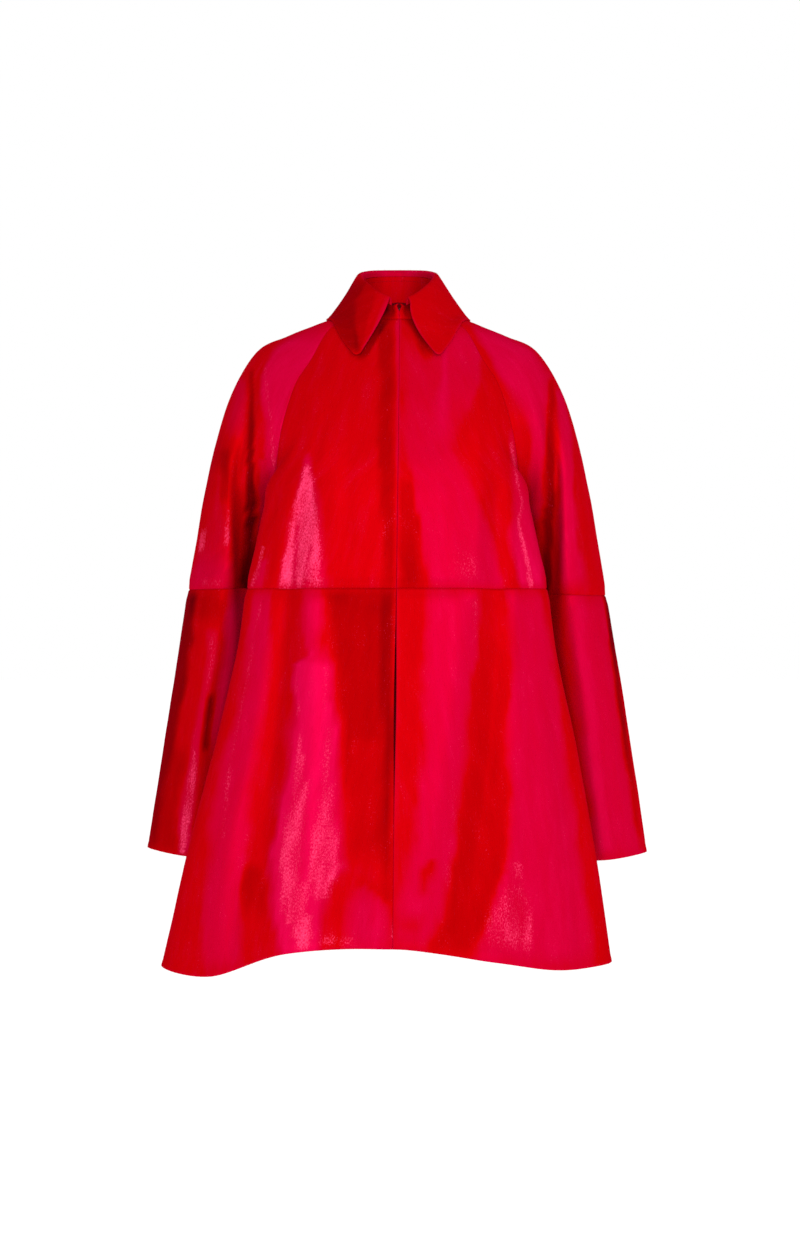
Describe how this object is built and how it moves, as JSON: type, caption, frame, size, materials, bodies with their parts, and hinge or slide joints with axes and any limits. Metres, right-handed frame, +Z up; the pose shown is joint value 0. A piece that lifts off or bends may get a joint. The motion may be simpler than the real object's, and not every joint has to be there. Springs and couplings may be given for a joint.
{
  "type": "a-line coat",
  "caption": "A-line coat of hair-on hide with raglan sleeves, a pointed turned-down collar, a cross seam and a flared hem, filled out as if worn.",
  "frame": {"origin": "the wearer's nape, at the height of the neck seam at the back, on the middle of the coat, where it is held up", "axes": "+Z up, the front faces -Y, +X to the right of one who looks at the front"},
  "size_m": [0.677, 0.4025, 0.9418],
  "materials": {
    "hair_on_hide": "satin",
    "dark_metal": "satin"
  },
  "bodies": {
    "root": {"front_upper_left": "hair_on_hide", "front_upper_right": "hair_on_hide", "front_lower_left": "hair_on_hide", "front_lower_right": "hair_on_hide", "back_upper": "hair_on_hide", "back_lower": "hair_on_hide", "sleeve_front_upper_left": "hair_on_hide", "sleeve_front_upper_right": "hair_on_hide", "sleeve_back_upper_left": "hair_on_hide", "sleeve_back_upper_right": "hair_on_hide", "sleeve_front_lower_left": "hair_on_hide", "sleeve_front_lower_right": "hair_on_hide", "sleeve_back_lower_left": "hair_on_hide", "sleeve_back_lower_right": "hair_on_hide", "collar_stand": "hair_on_hide", "collar_fall": "hair_on_hide", "neck_hook": "dark_metal", "neck_eye": "dark_metal"}
  },
  "joints": []
}
